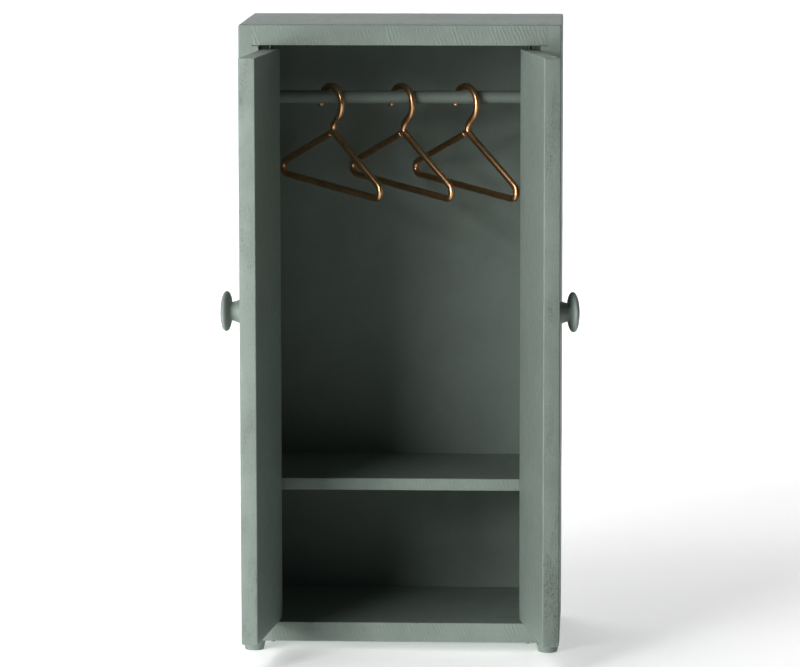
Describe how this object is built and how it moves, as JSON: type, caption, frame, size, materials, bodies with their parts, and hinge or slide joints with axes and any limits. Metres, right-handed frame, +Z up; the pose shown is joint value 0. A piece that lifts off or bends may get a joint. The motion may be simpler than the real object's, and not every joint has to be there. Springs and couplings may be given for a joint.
{
  "type": "miniature wardrobe",
  "caption": "Miniature wardrobe: painted wooden case on short feet, pin-hinged doors with turned knobs, a shelf, and a rail with wire hangers.",
  "frame": {"origin": "on the floor, at the centre of the model's box with both doors open", "axes": "+Z up, -Y towards the open front, +X to the right as seen from the front"},
  "size_m": [0.137, 0.123, 0.2469],
  "materials": {
    "painted_case": "matt sage green paint on wood",
    "painted_inside": "matt sage green paint on wood",
    "painted_door": "matt sage green paint on wood",
    "pin_steel": "drawn steel",
    "hanger_wire": "satin copper-coloured wire"
  },
  "bodies": {
    "case": {"side_panel_left": "painted_case", "side_panel_right": "painted_case", "top_panel": "painted_case", "bottom_panel": "painted_case", "back_panel": "painted_inside", "shelf": "painted_inside", "clothes_rail": "painted_inside", "foot_front_left": "painted_case", "foot_front_right": "painted_case", "foot_rear_left": "painted_case", "foot_rear_right": "painted_case", "pivot_pin_top_left": "pin_steel", "pivot_pin_bottom_left": "pin_steel", "pivot_pin_top_right": "pin_steel", "pivot_pin_bottom_right": "pin_steel"},
    "left_door": {"door_left": "painted_door", "knob_left": "painted_door"},
    "right_door": {"door_right": "painted_door", "knob_right": "painted_door"},
    "left_hanger": {"hanger_left": "hanger_wire"},
    "middle_hanger": {"hanger_middle": "hanger_wire"},
    "right_hanger": {"hanger_right": "hanger_wire"}
  },
  "joints": [
    {"name": "left_door_hinge", "type": "hinge", "parent": "case", "child": "left_door", "pos_m": [-0.05183, -0.01178, 0.1247], "axis": [0, 0, 1], "range_deg": [-8.9, 96.1]},
    {"name": "right_door_hinge", "type": "hinge", "parent": "case", "child": "right_door", "pos_m": [0.04851, -0.01178, 0.1247], "axis": [0, 0, -1], "range_deg": [-4.1, 100.9]},
    {"name": "left_hanger_swing", "type": "hinge", "parent": "case", "child": "left_hanger", "pos_m": [-0.03056, 0.02502, 0.21575], "axis": [1, 0, 0], "range_deg": [-10, 10]},
    {"name": "middle_hanger_swing", "type": "hinge", "parent": "case", "child": "middle_hanger", "pos_m": [-0.00246, 0.02502, 0.21575], "axis": [1, 0, 0], "range_deg": [-10, 10]},
    {"name": "right_hanger_swing", "type": "hinge", "parent": "case", "child": "right_hanger", "pos_m": [0.02294, 0.02502, 0.21575], "axis": [1, 0, 0], "range_deg": [-10, 10]}
  ]
}
